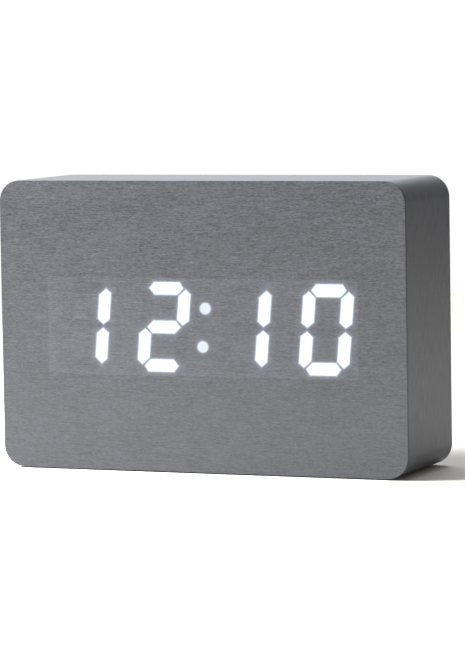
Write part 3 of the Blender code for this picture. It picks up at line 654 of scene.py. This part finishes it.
def make_face_film():
    shape = bmesh.new()
    edge = block_outline(RIM_ROUND)
    inner = rings([window_outline()], WINDOW_TONE) + rings(lit_digits(), GLOW_STEPS)
    inner += rings(unlit_digits(), UNLIT_SHADE) + rings(colon_outlines(), COLON_GLOW)
    flat, triangles = triangulated([edge] + inner)
    front = loop_at(shape, flat, FACE_Y)
    for triangle in triangles:
        shape.faces.new([front[i] for i in triangle])
    # the rim turns over the edge and runs back to the film's rear
    loop = front[: len(edge)]
    for depth, inset in rim_steps()[1:]:
        after = loop_at(shape, block_outline(inset), FACE_Y + depth)
        ring_faces(shape, loop, after)
        loop = after
    rear = loop_at(shape, block_outline(), FACE_HIGH.y)
    ring_faces(shape, loop, rear)
    # behind the display the film is a thin skin, so that the light guides come up close to it
    pocket = shrunk(window_outline(), POCKET_INSET)
    mouth = loop_at(shape, pocket, FACE_HIGH.y)
    frame_faces(shape, block_outline(), pocket, rear + mouth)
    floor = loop_at(shape, pocket, FACE_Y + SKIN)
    ring_faces(shape, mouth, floor)
    shape.faces.new(floor)
    look = brushed_film("lit_brushed_film", lit=True)
    film = new_piece("face_film", shape, "brushed_film", material=look)
    flat_grain(film.data)
    co = places(film.data)
    points = co[:, [0, 2]].astype(float)
    on_face = co[:, 1] < FACE_Y + 1e-6
    save_attribute(film.data, "glow", np.where(on_face, glow_at(points), 0.0))
    save_attribute(film.data, "film_tone", np.where(on_face, tone_at(points), 0.0))
    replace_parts(film, "front_film")


# ---- The band round the sides and the sheet on the back -----------------------------------------

HALF_SEAM = 0.00004
BAND_CORNER_STEPS = 48
PLATE_GAP = 0.0003
PLATE_HOLE_CORNER = 0.0053


def band_path():
    """Points round the sides from one end of the band to the other, and the way out at each."""
    ring = block_outline(0.0, BAND_CORNER_STEPS)
    # the ends are at the middle of the underside
    underside = [i for i, (x, z) in enumerate(ring) if z < BASE + 1e-7 and x > 0]
    first = min(underside, key=lambda i: ring[i][0])
    ring = ring[first:] + ring[:first]
    ways = []
    for x, z in ring:
        cx = math.copysign(WIDTH / 2 - CORNER_RADIUS, x)
        cz = MIDDLE + math.copysign(HEIGHT / 2 - CORNER_RADIUS, z - MIDDLE)
        length = math.hypot(x - cx, z - cz)
        ways.append(((x - cx) / length, (z - cz) / length))
    down = [(0.0, -1.0)]
    return [(HALF_SEAM, BASE)] + ring + [(-HALF_SEAM, BASE)], down + ways + down


def make_band():
    """The band round the sides: its edges are slightly rounded, and its ends nearly meet."""
    low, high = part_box("side_film")
    path, ways = band_path()
    lengths = [0.0]
    for (ax, az), (bx, bz) in zip(path, path[1:]):
        lengths.append(lengths[-1] + math.hypot(bx - ax, bz - az))
    section = [(low.y + depth, inset) for depth, inset in rim_steps()]
    section += [(high.y - depth, inset) for depth, inset in reversed(rim_steps())]
    section += [(high.y, FILM), (low.y, FILM)]
    shape = bmesh.new()
    rows, grains = [], []
    for (x, z), (nx, nz), along in zip(path, ways, lengths):
        rows.append([shape.verts.new((x - nx * inset, y, z - nz * inset)) for y, inset in section])
        grains += [(along, y, 0.0) for y, _ in section]
    for row, after in zip(rows, rows[1:]):
        ring_faces(shape, row, after)
    shape.faces.new(rows[0])
    shape.faces.new(rows[-1])
    # the band's look carries painted shade along its front edge, for the crevice beside the face film
    look = brushed_film("band_film_with_crevice_shade", long_streaks=BAND_STREAKS, crevice_shade=low.y)
    band = new_piece("side_band", shape, "brushed_film", material=look)
    save_attribute(band.data, "grain", grains, "FLOAT_VECTOR")
    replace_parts(band, "side_film")


def make_back_film():
    """The back's sheet, a frame round the control plate, with its rear edges cut at a slant."""
    low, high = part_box("back_film")
    plate_low, plate_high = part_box("control_plate")
    size = [plate_high[axis] - plate_low[axis] + 2 * PLATE_GAP for axis in (0, 2)]
    centre = [(plate_low[axis] + plate_high[axis]) / 2 for axis in (0, 2)]
    shape = bmesh.new()
    before = None
    for y, inset in ((high.y, RIM_ROUND), (high.y - RIM_ROUND, 0.0), (low.y, 0.0)):
        outline = block_outline(inset)
        hole = rounded_rectangle(centre, [s + 2 * inset for s in size], PLATE_HOLE_CORNER + inset, 8)
        outer, inner = loop_at(shape, outline, y), loop_at(shape, hole, y)
        if before:
            ring_faces(shape, before[0], outer)
            ring_faces(shape, before[1], inner)
        if y in (high.y, low.y):
            frame_faces(shape, outline, hole, outer + inner)
        before = outer, inner
    film = new_piece("back_sheet", shape, "brushed_film")
    flat_grain(film.data)
    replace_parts(film, "back_film")


# ---- Round pieces that stand for CAD nodes ------------------------------------------------------

BUTTON_CAP = 0.0030
BUTTON_ROUNDING = 0.00035
BUTTON_DOME = ((0.0, 0.0), (0.0009, 0.00003), (0.0018, 0.00012))  # radius, drop
BUTTON_EDGE_DROP = 0.00027
BUTTON_STEM = 0.0015
COLLAR_DEPTH = 0.0035
COLLAR_THICKNESS = 0.0008
COLLAR_CHAMFER = 0.0001

SCREW_SHANK = 0.0010
SCREW_CROWN = ((0.00145, 0.0), (0.00172, 0.00007), (0.00190, 0.00025))  # radius, drop
SCREW_EDGE_DROP = 0.0005
SCREW_SEAT_DROP = 0.0011
SCREW_POINT = 0.0006
RECESS_DEPTH = 0.0006
# Reach, half an arm's width and inner corner of the cross recess, at its mouth and at its foot
RECESS_MOUTH = (0.00105, 0.00024, 0.00012)
RECESS_FOOT = (0.00062, 0.00012, 0.00006)

JACK_OUTER = 0.0040
JACK_BORE = 0.0029
JACK_LIP = 0.0003
JACK_FLANGE = (0.0131, 0.0140)
JACK_FLOOR = 0.0020
JACK_PIN_GAP = 0.0003

CELL_NUB = 0.0019
CELL_NUB_HEIGHT = 0.0010
CELL_NUB_CHAMFER = 0.0002
CELL_SHOULDER = 0.0007
CELL_BASE_RIM = 0.0003
# The recess round the nub: its depth, where its outer wall's top and foot lie inside the shoulder,
# and where the curve at the nub's foot starts and ends outside the nub
CELL_RECESS = 0.00025
RECESS_WALL = (0.0004, 0.0006)
NUB_FOOT = (0.0006, 0.0001)
NUB_FOOT_DROP = 0.0001

SPRING_WIRE = 0.00035
SPRING_NARROW = 0.0022
SPRING_TURNS = 3.5
SPRING_STEPS = 28
SPRING_SIDES = 10
SPRING_FLAT_SHARE = 0.12


def turn(shape, profile, place, along, steps=48):
    """Turns (radius, distance) pairs round an axis. A pair with no radius closes that end."""
    along = Vector(along)
    side = Vector((0.0, 0.0, 1.0))
    other = along.cross(side)
    loops = []
    for radius, distance in profile:
        middle = Vector(place) + distance * along
        if radius == 0.0:
            loops.append([shape.verts.new(middle)])
            continue
        angles = [2 * math.pi * i / steps for i in range(steps)]
        loops.append([
            shape.verts.new(middle + radius * (math.cos(a) * side + math.sin(a) * other)) for a in angles
        ])
    if profile[0][0] > 0.0:
        loops.append(loops[0])
    for first, second in zip(loops, loops[1:]):
        if len(first) == len(second):
            ring_faces(shape, first, second)
        elif len(first) == 1:
            fan_faces(shape, first[0], second)
        else:
            fan_faces(shape, second[0], first)


def arc(centre, radius, start, end, steps):
    """Pairs along a circular arc, with angles in degrees from the radius direction."""
    angles = [math.radians(start + (end - start) * i / steps) for i in range(steps + 1)]
    return [(centre[0] + radius * math.cos(a), centre[1] + radius * math.sin(a)) for a in angles]


def make_button(name):
    """A domed cap with a rounded edge, on the collar and stem of the CAD node."""
    low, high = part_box(name)
    collar = (high.x - low.x) / 2
    collar_rear = high.y - COLLAR_DEPTH
    collar_front = collar_rear - COLLAR_THICKNESS
    rounding_middle = (BUTTON_CAP - BUTTON_ROUNDING, high.y - BUTTON_EDGE_DROP - BUTTON_ROUNDING)
    profile = [(radius, high.y - drop) for radius, drop in BUTTON_DOME]
    profile += arc(rounding_middle, BUTTON_ROUNDING, 78, 0, 5)
    profile += [(BUTTON_CAP, collar_rear), (collar - COLLAR_CHAMFER, collar_rear)]
    profile += [(collar, collar_rear - COLLAR_CHAMFER), (collar, collar_front)]
    profile += [(BUTTON_STEM, collar_front), (BUTTON_STEM, low.y), (0.0, low.y)]
    shape = bmesh.new()
    turn(shape, profile, ((low.x + high.x) / 2, 0.0, (low.z + high.z) / 2), (0, 1, 0))
    cap = new_piece(f"{name}_cap", shape, "button_plastic", body=name, smooth=True)
    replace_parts(cap, name)


def cross_outline(centre, reach, half, corner):
    """The outline of a cross, counterclockwise, with its inner corners cut."""
    quarter = [(reach, -half), (reach, half), (half + corner, half), (half, half + corner)]
    points = []
    for k in range(4):
        c, s = math.cos(math.pi / 2 * k), math.sin(math.pi / 2 * k)
        points += [(centre[0] + c * x - s * z, centre[1] + s * x + c * z) for x, z in quarter]
    return points


def make_plate_screw(node):
    """A pan-head screw with a tapering cross recess."""
    low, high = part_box(node)
    centre = ((low.x + high.x) / 2, (low.z + high.z) / 2)
    head = (high.x - low.x) / 2
    seat = high.y - SCREW_SEAT_DROP
    profile = [(radius, high.y - drop) for radius, drop in SCREW_CROWN]
    profile += [(head, high.y - SCREW_EDGE_DROP), (head, seat)]
    profile += [(SCREW_SHANK, seat), (SCREW_SHANK, low.y + SCREW_POINT)]
    outlines = [circle(centre, radius, 32) for radius, _ in profile]
    shape = bmesh.new()
    loops = [loop_at(shape, outline, y) for outline, (_, y) in zip(outlines, profile)]
    for loop, after in zip(loops, loops[1:]):
        ring_faces(shape, loop, after)
    fan_faces(shape, shape.verts.new((centre[0], low.y, centre[1])), loops[-1])
    recess = cross_outline(centre, *RECESS_MOUTH)
    mouth = loop_at(shape, recess, high.y)
    frame_faces(shape, outlines[0], recess, loops[0] + mouth)
    foot = loop_at(shape, cross_outline(centre, *RECESS_FOOT), high.y - RECESS_DEPTH)
    ring_faces(shape, mouth, foot)
    shape.faces.new(foot)
    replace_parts(new_piece(f"{node}_head", shape, "black_steel", smooth=True), node)


def make_jack():
    """The power inlet's barrel with rounded lips."""
    low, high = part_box("power_jack")
    pin_low, pin_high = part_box("power_jack_pin")
    flange = (high.x - low.x) / 2
    flange_front, flange_rear = JACK_FLANGE
    around_pin = (pin_high.x - pin_low.x) / 2 + JACK_PIN_GAP
    floor = low.y + JACK_FLOOR
    profile = arc((JACK_BORE + JACK_LIP, high.y - JACK_LIP), JACK_LIP, 180, 90, 4)
    profile += arc((JACK_OUTER - JACK_LIP, high.y - JACK_LIP), JACK_LIP, 90, 0, 4)
    profile += [(JACK_OUTER, flange_rear), (flange, flange_rear)]
    profile += [(flange, flange_front), (JACK_OUTER, flange_front), (JACK_OUTER, low.y)]
    profile += [(around_pin, low.y), (around_pin, floor), (JACK_BORE, floor)]
    shape = bmesh.new()
    turn(shape, profile, ((pin_low.x + pin_high.x) / 2, 0.0, (pin_low.z + pin_high.z) / 2), (0, 1, 0))
    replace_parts(new_piece("power_inlet", shape, "black_plastic", smooth=True), "power_jack")


def spring_is_left(number):
    """Whether a cell's spring, which presses on its flat end, is at its low X end."""
    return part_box(f"cell_spring_{number}")[0].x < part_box(f"cell_{number}")[0].x


def make_cell(number):
    """A cell with rounded shoulders. Its look follows the place along it and the radius."""
    node = f"cell_{number}"
    low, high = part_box(node)
    centre_y, centre_z = (low.y + high.y) / 2, (low.z + high.z) / 2
    radius = (high.z - low.z) / 2
    base, way = (low.x, 1.0) if spring_is_left(number) else (high.x, -1.0)
    length = high.x - low.x
    body = length - CELL_NUB_HEIGHT
    rim = radius - CELL_SHOULDER
    profile = [(0.0, 0.0), (rim - CELL_BASE_RIM, 0.0)]
    profile += arc((rim, CELL_SHOULDER), CELL_SHOULDER, -90, 0, 5)
    profile += arc((rim, body - CELL_SHOULDER), CELL_SHOULDER, 0, 90, 5)
    profile += [(rim - RECESS_WALL[0], body), (rim - RECESS_WALL[1], body - CELL_RECESS)]
    profile.append((CELL_NUB + NUB_FOOT[0], body - CELL_RECESS))
    profile.append((CELL_NUB + NUB_FOOT[1], body - NUB_FOOT_DROP))
    profile += [(CELL_NUB, length - CELL_NUB_CHAMFER), (CELL_NUB - CELL_NUB_CHAMFER, length)]
    profile.append((0.0, length))
    shape = bmesh.new()
    turn(shape, profile, (base, centre_y, centre_z), (way, 0, 0), 40)
    cell = new_piece(f"{node}_sleeved", shape, "cell_jacket", smooth=True)
    co = places(cell.data)
    save_attribute(cell.data, "along_cell", np.abs(co[:, 0] - base) / length)
    save_attribute(cell.data, "from_axis", np.hypot(co[:, 1] - centre_y, co[:, 2] - centre_z) / radius)
    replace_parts(cell, node)


def make_spring(number):
    """A conical spring of round wire with a flat coil at its wide end."""
    node = f"cell_spring_{number}"
    low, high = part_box(node)
    cell_low, cell_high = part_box(f"cell_{number}")
    centre_y, centre_z = (cell_low.y + cell_high.y) / 2, (low.z + high.z) / 2
    wide = (high.z - low.z) / 2 - SPRING_WIRE
    base, way = (low.x, 1.0) if spring_is_left(number) else (high.x, -1.0)
    base += way * SPRING_WIRE
    length = high.x - low.x - 2 * SPRING_WIRE
    count = int(SPRING_TURNS * SPRING_STEPS)
    path = []
    for i in range(count + 1):
        share = i / count
        rise = max(0.0, share - SPRING_FLAT_SHARE) / (1 - SPRING_FLAT_SHARE)
        radius = wide + (SPRING_NARROW - wide) * share
        angle = 2 * math.pi * SPRING_TURNS * share
        y, z = centre_y + radius * math.cos(angle), centre_z + radius * math.sin(angle)
        path.append(Vector((base + way * length * rise, y, z)))
    shape = bmesh.new()
    tube(shape, path, SPRING_WIRE, SPRING_SIDES)
    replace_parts(new_piece(f"{node}_coil", shape, "steel", smooth=True), node)


def tube(shape, path, radius, sides):
    """A round tube with closed ends. Its path must nowhere run along X."""
    loops = []
    for i, place in enumerate(path):
        ahead = (path[min(i + 1, len(path) - 1)] - path[max(i - 1, 0)]).normalized()
        side = ahead.cross(Vector((1.0, 0.0, 0.0))).normalized()
        up = side.cross(ahead)
        angles = [2 * math.pi * k / sides for k in range(sides)]
        loops.append([
            shape.verts.new(place + radius * (math.cos(a) * side + math.sin(a) * up)) for a in angles
        ])
    for first, second in zip(loops, loops[1:]):
        ring_faces(shape, first, second)
    shape.faces.new(loops[0])
    shape.faces.new(loops[-1])


# ---- Moulded pieces -----------------------------------------------------------------------------

MOULDED_ROUND = 0.00018
FLAT_ANGLE = math.radians(1.0)


def soften(node, body):
    """A plastic piece like the CAD node, with its sharp edges slightly rounded."""
    shape = bmesh.new()
    shape.from_mesh(frame["nodes"][node].data)
    bmesh.ops.remove_doubles(shape, verts=shape.verts, dist=1e-6)
    bmesh.ops.dissolve_limit(shape, angle_limit=FLAT_ANGLE, verts=shape.verts, edges=shape.edges)
    sharp = [e for e in shape.edges if len(e.link_faces) == 2 and e.calc_face_angle() > SHARP]
    settings = {"offset_type": "OFFSET", "profile": 0.5, "affect": "EDGES", "clamp_overlap": True}
    bmesh.ops.bevel(shape, geom=sharp, offset=MOULDED_ROUND, segments=2, **settings)
    bmesh.ops.triangulate(shape, faces=[f for f in shape.faces if len(f.verts) > 4])
    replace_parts(new_piece(f"{node}_moulding", shape, "black_plastic", body=body), node)


# ---- Floor, lights and camera -------------------------------------------------------------------

WHITE = (1.0, 1.0, 1.0, 1.0)
WORLD_SEEN = 1.0
WORLD_LIGHT = 0.262
HORIZON = 0.02
BACKDROP_LIGHT = 1.44
BACKDROP_COLOUR = (0.92, 0.955, 1.0, 1.0)
BACKDROP_WAY = Vector((-0.66, 0.74, 0.10)).normalized()
BACKDROP_EDGE = 0.55


def make_world():
    """White to the camera. As light it is dim above the horizon and bright low behind the object."""
    world = bpy.data.worlds.new("studio")
    bpy.context.scene.world = world
    world.use_nodes = True
    nodes = Nodes(world.node_tree)
    nodes.tree.nodes.clear()

    def background(colour, strength):
        return nodes.node("ShaderNodeBackground", {"Color": colour, "Strength": strength}).outputs[0]

    direction = nodes.node("ShaderNodeTexCoord").outputs["Generated"]
    above = nodes.ramp(nodes.part(direction, "Z"), -HORIZON, HORIZON, 0.0, WORLD_LIGHT)
    towards = nodes.vector_math("DOT_PRODUCT", direction, BACKDROP_WAY, "Value")
    behind = nodes.ramp(towards, BACKDROP_EDGE, 1.0, 0.0, BACKDROP_LIGHT, "SMOOTHSTEP")
    backdrop = background(BACKDROP_COLOUR, behind)
    light = nodes.node("ShaderNodeAddShader", {0: background(WHITE, above), 1: backdrop})
    seen = nodes.node("ShaderNodeLightPath").outputs["Is Camera Ray"]
    either = {0: seen, 1: light.outputs[0], 2: background(WHITE, WORLD_SEEN)}
    surface = nodes.node("ShaderNodeMixShader", either).outputs[0]
    nodes.node("ShaderNodeOutputWorld", {"Surface": surface})


FLOOR_RADIUS = 0.80
FLOOR_CENTRE = Vector((0.14, 0.14, 0.0))
FLOOR_COLOUR = (0.905, 0.884, 0.832)
# Along a line away from the lights the floor is painted darker, as painted shade, and then paler, as
# painted light, and it fades out at its rim.
# Each change has the millimetres where it starts and ends, and the values there.
FLOOR_WAY = (0.7, 0.7, 0.0)
PAINTED_FLOOR_SHADE = (-50.0, 200.0, 1.0, 0.66)
PAINTED_FLOOR_LIGHT = (320.0, 500.0, 1.0, 1.45)
RIM_FADE = (540.0, 780.0, 1.0, 0.0)


def make_floor():
    shape = bmesh.new()
    bmesh.ops.create_circle(shape, cap_ends=True, segments=64, radius=FLOOR_RADIUS)
    bmesh.ops.translate(shape, vec=FLOOR_CENTRE, verts=shape.verts)
    mesh = bpy.data.meshes.new("studio_floor")
    shape.to_mesh(mesh)
    shape.free()
    shader = Shader("pale_floor_with_painted_light")
    place = shader.place()
    cloud = shader.spread(shader.noise(place, 0.002), 0.99, 1.01)
    away = shader.vector_math("DOT_PRODUCT", place, FLOOR_WAY, "Value")
    # painted shade, then painted light: the floor's colour is darkened and then paled along the line away
    # from the lights
    shade = shader.math("MULTIPLY", shader.ramp(away, *PAINTED_FLOOR_SHADE), shader.ramp(away, *PAINTED_FLOOR_LIGHT))
    tone = shader.math("MULTIPLY", cloud, shade)
    outwards = shader.vector_math("DISTANCE", place, TO_MM * FLOOR_CENTRE, "Value")
    shader.set(
        Base_Color=shader.tinted(FLOOR_COLOUR, tone),
        Roughness=0.9,
        Alpha=shader.ramp(outwards, *RIM_FADE),
    )
    mesh.materials.append(shader.material)
    floor = bpy.data.objects.new("studio_floor", mesh)
    bpy.context.scene.collection.objects.link(floor)


def make_area_light(name, place, size, power):
    """A rectangular light that points at the middle of the clock."""
    data = bpy.data.lights.new(name, "AREA")
    data.shape = "RECTANGLE"
    data.size, data.size_y = size
    data.energy = power
    light = bpy.data.objects.new(name, data)
    light.location = place
    target = Vector((0.0, 0.0, 0.05))
    light.rotation_euler = (target - Vector(place)).to_track_quat("-Z", "Y").to_euler()
    bpy.context.scene.collection.objects.link(light)


def make_lights():
    """A soft key light from the left, in line with the picture, and a weak one high behind the object."""
    make_area_light("key_light", place=(-0.736, -0.312, 0.67), size=(0.40, 0.40), power=36.4)
    make_area_light("back_light", place=(0.0, 0.5, 0.9), size=(0.40, 0.30), power=2.8)


# The camera's place and lens, worked out from the block's corners in the picture
CAMERA_AZIMUTH = math.radians(22.68)
CAMERA_ELEVATION = math.radians(4.76)
CAMERA_ROLL = math.radians(-0.93)
CAMERA_DISTANCE = 1.2486
CAMERA_TARGET = Vector((0.0028, 0.0, 0.0498 + BASE))
CAMERA_LENS = 201.0


def make_camera():
    right = Vector((math.cos(CAMERA_AZIMUTH), math.sin(CAMERA_AZIMUTH), 0.0))
    level = Vector((-right.y, right.x, 0.0))
    forward = math.cos(CAMERA_ELEVATION) * level - math.sin(CAMERA_ELEVATION) * Vector((0.0, 0.0, 1.0))
    up = right.cross(forward)
    tilted_right = math.cos(CAMERA_ROLL) * right + math.sin(CAMERA_ROLL) * up
    tilted_up = math.cos(CAMERA_ROLL) * up - math.sin(CAMERA_ROLL) * right
    facing = Matrix((tilted_right, tilted_up, -forward)).transposed()
    data = bpy.data.cameras.new("camera")
    data.sensor_width = 36.0
    data.lens = CAMERA_LENS
    data.clip_start, data.clip_end = 0.05, 100.0
    camera = bpy.data.objects.new("camera", data)
    place = CAMERA_TARGET - CAMERA_DISTANCE * forward
    camera.matrix_world = Matrix.Translation(place) @ facing.to_4x4()
    bpy.context.scene.collection.objects.link(camera)
    bpy.context.scene.camera = camera


# ---- Everything together ------------------------------------------------------------------------

bpy.context.scene.view_settings.view_transform = "Standard"
make_camera()
make_world()
make_floor()
make_lights()
finish_nodes()
make_face_film()
make_band()
make_back_film()
for name in ("set_button", "up_button", "down_button"):
    make_button(name)
for number in range(1, 5):
    make_plate_screw(f"plate_screw_{number}")
    make_cell(number)
    make_spring(number)
make_jack()
soften("control_plate", ROOT)
soften(DOOR, DOOR)
